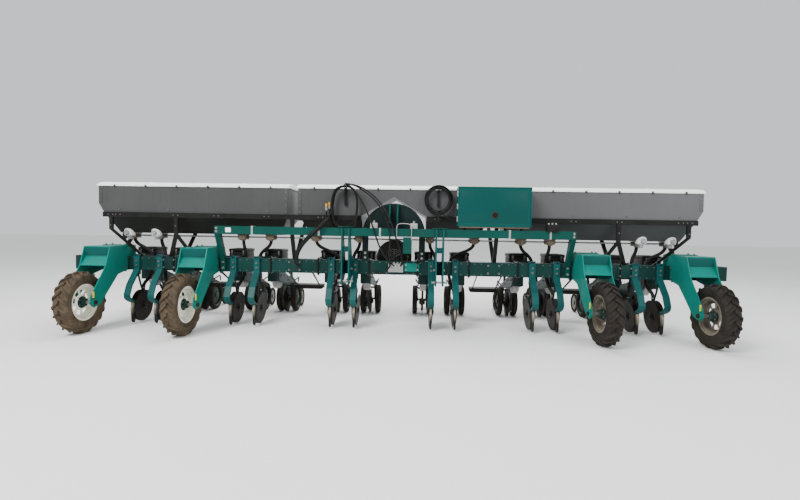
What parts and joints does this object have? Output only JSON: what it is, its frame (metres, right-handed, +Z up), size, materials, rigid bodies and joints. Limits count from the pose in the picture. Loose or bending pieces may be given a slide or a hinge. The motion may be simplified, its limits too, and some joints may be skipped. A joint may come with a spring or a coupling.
{
  "type": "corn planter",
  "caption": "Front-hitched no-till corn planter: toolbar, paired seeding units, disc fertiliser openers, ground wheels, long covered hopper.",
  "frame": {"origin": "on the ground under the middle of the machine's bounding box", "axes": "+X along the toolbar to the right as seen from the hitch, +Y rearwards from the hitch to the closing wheels, +Z up"},
  "size_m": [8.512, 2.8145, 1.883],
  "materials": {
    "toolbar_paint": "gloss",
    "hitch_paint": "gloss",
    "bright_steel": "zinc plated",
    "hopper_sheet": "satin metallic grey",
    "lid_shell": "satin",
    "black_steel": "satin",
    "meter_plastic": "moulded",
    "hose_rubber": "matte",
    "disc_steel": "oiled dark steel",
    "knob_plastic": "gloss",
    "coupling_yellow": "moulded",
    "tyre_rubber": "dusty",
    "rim_paint": "satin",
    "unit_paint": "satin"
  },
  "bodies": {
    "frame": {"toolbar": "toolbar_paint", "front_hitch_beam": "hitch_paint", "hitch_beam_legs": "hitch_paint", "lower_link_plates": "hitch_paint", "lower_link_pins": "bright_steel", "headstock_arch": "toolbar_paint", "top_link_bracket": "hitch_paint", "wheel_yokes": "hitch_paint", "wheel_axles": "bright_steel", "hopper_tank_left": "hopper_sheet", "hopper_tank_centre": "hopper_sheet", "hopper_tank_right": "hopper_sheet", "hopper_rails": "black_steel", "hopper_stands": "black_steel", "lid_hinges": "black_steel", "fertiliser_meters": "meter_plastic", "fertiliser_hoses": "hose_rubber", "opener_shanks": "hitch_paint", "opener_clamps": "hitch_paint", "opener_discs": "disc_steel", "opener_hubs": "disc_steel", "opener_boots": "bright_steel", "row_unit_brackets": "toolbar_paint", "row_unit_pins": "bright_steel", "control_box": "hitch_paint", "control_box_door": "hitch_paint", "fan_housing": "black_steel", "hydraulic_manifold": "bright_steel", "step_boards": "black_steel", "hose_hooks": "black_steel", "hydraulic_hose_loop": "hose_rubber", "hydraulic_hose_run": "hose_rubber", "couplings_and_plug": "coupling_yellow", "control_cable_coil": "hose_rubber", "control_cable_lead": "hose_rubber"},
    "ground_wheel_left_outer": {"tyre_left_outer": "tyre_rubber", "rim_left_outer": "rim_paint"},
    "ground_wheel_left_inner": {"tyre_left_inner": "tyre_rubber", "rim_left_inner": "rim_paint"},
    "ground_wheel_right_inner": {"tyre_right_inner": "tyre_rubber", "rim_right_inner": "rim_paint"},
    "ground_wheel_right_outer": {"tyre_right_outer": "tyre_rubber", "rim_right_outer": "rim_paint"},
    "seeding_unit_01": {"row_unit_01": "unit_paint"},
    "seeding_unit_02": {"row_unit_02": "unit_paint"},
    "seeding_unit_03": {"row_unit_03": "unit_paint"},
    "seeding_unit_04": {"row_unit_04": "unit_paint"},
    "seeding_unit_05": {"row_unit_05": "unit_paint"},
    "seeding_unit_06": {"row_unit_06": "unit_paint"},
    "seeding_unit_07": {"row_unit_07": "unit_paint"},
    "seeding_unit_08": {"row_unit_08": "unit_paint"},
    "seeding_unit_09": {"row_unit_09": "unit_paint"},
    "seeding_unit_10": {"row_unit_10": "unit_paint"},
    "seeding_unit_11": {"row_unit_11": "unit_paint"},
    "seeding_unit_12": {"row_unit_12": "unit_paint"},
    "lid_left": {"hopper_lid_left": "lid_shell"},
    "lid_centre": {"hopper_lid_centre": "lid_shell"},
    "lid_right": {"hopper_lid_right": "lid_shell"},
    "meter_shaft": {"meter_drive_shaft": "bright_steel"},
    "knob": {"control_knob": "knob_plastic"}
  },
  "joints": [
    {"name": "wheel_spin_left_outer", "type": "hinge", "parent": "frame", "child": "ground_wheel_left_outer", "pos_m": [-3.714, -1.03975, 0.3675], "axis": [1, 0, 0], "continuous": true},
    {"name": "wheel_spin_left_inner", "type": "hinge", "parent": "frame", "child": "ground_wheel_left_inner", "pos_m": [-2.474, -1.03975, 0.3675], "axis": [1, 0, 0], "continuous": true},
    {"name": "wheel_spin_right_inner", "type": "hinge", "parent": "frame", "child": "ground_wheel_right_inner", "pos_m": [2.474, -1.03975, 0.3675], "axis": [1, 0, 0], "continuous": true},
    {"name": "wheel_spin_right_outer", "type": "hinge", "parent": "frame", "child": "ground_wheel_right_outer", "pos_m": [3.714, -1.03975, 0.3675], "axis": [1, 0, 0], "continuous": true},
    {"name": "unit_float_01", "type": "hinge", "parent": "frame", "child": "seeding_unit_01", "pos_m": [-3.5, -0.16775, 0.85], "axis": [1, 0, 0], "range_deg": [-12, 0]},
    {"name": "unit_float_02", "type": "hinge", "parent": "frame", "child": "seeding_unit_02", "pos_m": [-3, -0.16775, 0.85], "axis": [1, 0, 0], "range_deg": [-12, 0]},
    {"name": "unit_float_03", "type": "hinge", "parent": "frame", "child": "seeding_unit_03", "pos_m": [-2.2, -0.16775, 0.85], "axis": [1, 0, 0], "range_deg": [-12, 0]},
    {"name": "unit_float_04", "type": "hinge", "parent": "frame", "child": "seeding_unit_04", "pos_m": [-1.7, -0.16775, 0.85], "axis": [1, 0, 0], "range_deg": [-12, 0]},
    {"name": "unit_float_05", "type": "hinge", "parent": "frame", "child": "seeding_unit_05", "pos_m": [-0.9, -0.16775, 0.85], "axis": [1, 0, 0], "range_deg": [-12, 0]},
    {"name": "unit_float_06", "type": "hinge", "parent": "frame", "child": "seeding_unit_06", "pos_m": [-0.4, -0.16775, 0.85], "axis": [1, 0, 0], "range_deg": [-12, 0]},
    {"name": "unit_float_07", "type": "hinge", "parent": "frame", "child": "seeding_unit_07", "pos_m": [0.4, -0.16775, 0.85], "axis": [1, 0, 0], "range_deg": [-12, 0]},
    {"name": "unit_float_08", "type": "hinge", "parent": "frame", "child": "seeding_unit_08", "pos_m": [0.9, -0.16775, 0.85], "axis": [1, 0, 0], "range_deg": [-12, 0]},
    {"name": "unit_float_09", "type": "hinge", "parent": "frame", "child": "seeding_unit_09", "pos_m": [1.7, -0.16775, 0.85], "axis": [1, 0, 0], "range_deg": [-12, 0]},
    {"name": "unit_float_10", "type": "hinge", "parent": "frame", "child": "seeding_unit_10", "pos_m": [2.2, -0.16775, 0.85], "axis": [1, 0, 0], "range_deg": [-12, 0]},
    {"name": "unit_float_11", "type": "hinge", "parent": "frame", "child": "seeding_unit_11", "pos_m": [3, -0.16775, 0.85], "axis": [1, 0, 0], "range_deg": [-12, 0]},
    {"name": "unit_float_12", "type": "hinge", "parent": "frame", "child": "seeding_unit_12", "pos_m": [3.5, -0.16775, 0.85], "axis": [1, 0, 0], "range_deg": [-12, 0]},
    {"name": "lid_open_left", "type": "hinge", "parent": "frame", "child": "lid_left", "pos_m": [-2.6465, 0.28125, 1.806], "axis": [1, 0, 0], "range_deg": [-95, 0]},
    {"name": "lid_open_centre", "type": "hinge", "parent": "frame", "child": "lid_centre", "pos_m": [0, 0.28125, 1.806], "axis": [1, 0, 0], "range_deg": [-95, 0]},
    {"name": "lid_open_right", "type": "hinge", "parent": "frame", "child": "lid_right", "pos_m": [2.6465, 0.28125, 1.806], "axis": [1, 0, 0], "range_deg": [-95, 0]},
    {"name": "meter_shaft_turn", "type": "hinge", "parent": "frame", "child": "meter_shaft", "pos_m": [0, -0.07675, 1.165], "axis": [1, 0, 0], "continuous": true},
    {"name": "knob_turn", "type": "hinge", "parent": "frame", "child": "knob", "pos_m": [1.255, -0.71275, 1.495], "axis": [0, 1, 0], "range_deg": [-45, 45]}
  ]
}
